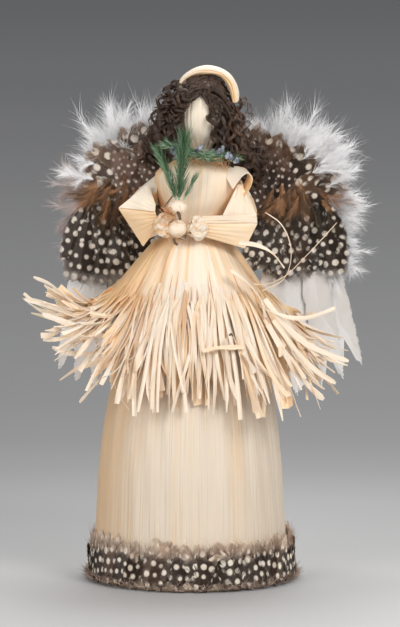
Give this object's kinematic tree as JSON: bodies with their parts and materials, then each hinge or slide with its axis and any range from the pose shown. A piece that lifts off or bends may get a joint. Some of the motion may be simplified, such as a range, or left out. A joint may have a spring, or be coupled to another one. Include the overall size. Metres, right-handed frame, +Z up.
{
  "type": "corn husk doll",
  "caption": "Standing corn husk angel doll with a bell skirt, a shredded husk overskirt, curly hair, feather wings and a green sprig held in both hands.",
  "frame": {"origin": "middle of the hem, on the surface the doll stands on", "axes": "+Z up, -Y the way the doll faces, +X to the right of someone who looks at its front"},
  "size_m": [0.1694, 0.1044, 0.2583],
  "materials": {
    "corn_husk": "matte",
    "rolled_husk": "matte",
    "wadding": "matte",
    "thread": "matte",
    "curly_hair": "satin",
    "green_sprig": "matte",
    "blue_berry": "matte",
    "spotted_feather": "satin",
    "white_feather": "satin",
    "white_fluff": "matte"
  },
  "bodies": {
    "root": {"skirt_husk_1": "corn_husk", "skirt_husk_2": "corn_husk", "skirt_husk_3": "corn_husk", "skirt_husk_4": "corn_husk", "skirt_husk_5": "corn_husk", "skirt_husk_6": "corn_husk", "peplum_front_left": "corn_husk", "peplum_front_right": "corn_husk", "peplum_side_left": "corn_husk", "peplum_side_right": "corn_husk", "peplum_back": "corn_husk", "bodice_front": "corn_husk", "bodice_back": "corn_husk", "sleeve_left": "corn_husk", "sleeve_right": "corn_husk", "cuff_left": "corn_husk", "cuff_right": "corn_husk", "hand_left": "corn_husk", "hand_right": "corn_husk", "head_husk": "corn_husk", "head_band": "corn_husk", "skirt_lining": "rolled_husk", "arm_roll": "rolled_husk", "wing_backing_left": "rolled_husk", "wing_backing_right": "rolled_husk", "torso_core": "wadding", "head_core": "wadding", "waist_tie": "thread", "neck_tie": "thread", "hair_crown": "curly_hair", "hair_back": "curly_hair", "hair_left": "curly_hair", "hair_right": "curly_hair", "sprig_tall": "green_sprig", "sprig_side": "green_sprig", "sprig_small": "green_sprig", "garland": "green_sprig", "berries_left": "blue_berry", "berries_centre": "blue_berry", "berries_right": "blue_berry", "hem_feathers_1": "spotted_feather", "hem_feathers_2": "spotted_feather", "hem_feathers_3": "spotted_feather", "hem_feathers_4": "spotted_feather", "upper_coverts_left": "spotted_feather", "upper_coverts_right": "spotted_feather", "lower_coverts_left": "spotted_feather", "lower_coverts_right": "spotted_feather", "flight_feather_left_1": "white_feather", "flight_feather_left_2": "white_feather", "flight_feather_left_3": "white_feather", "flight_feather_left_4": "white_feather", "flight_feather_left_5": "white_feather", "flight_feather_right_1": "white_feather", "flight_feather_right_2": "white_feather", "flight_feather_right_3": "white_feather", "flight_feather_right_4": "white_feather", "flight_feather_right_5": "white_feather", "marabou_left": "white_fluff", "marabou_right": "white_fluff"}
  },
  "joints": []
}
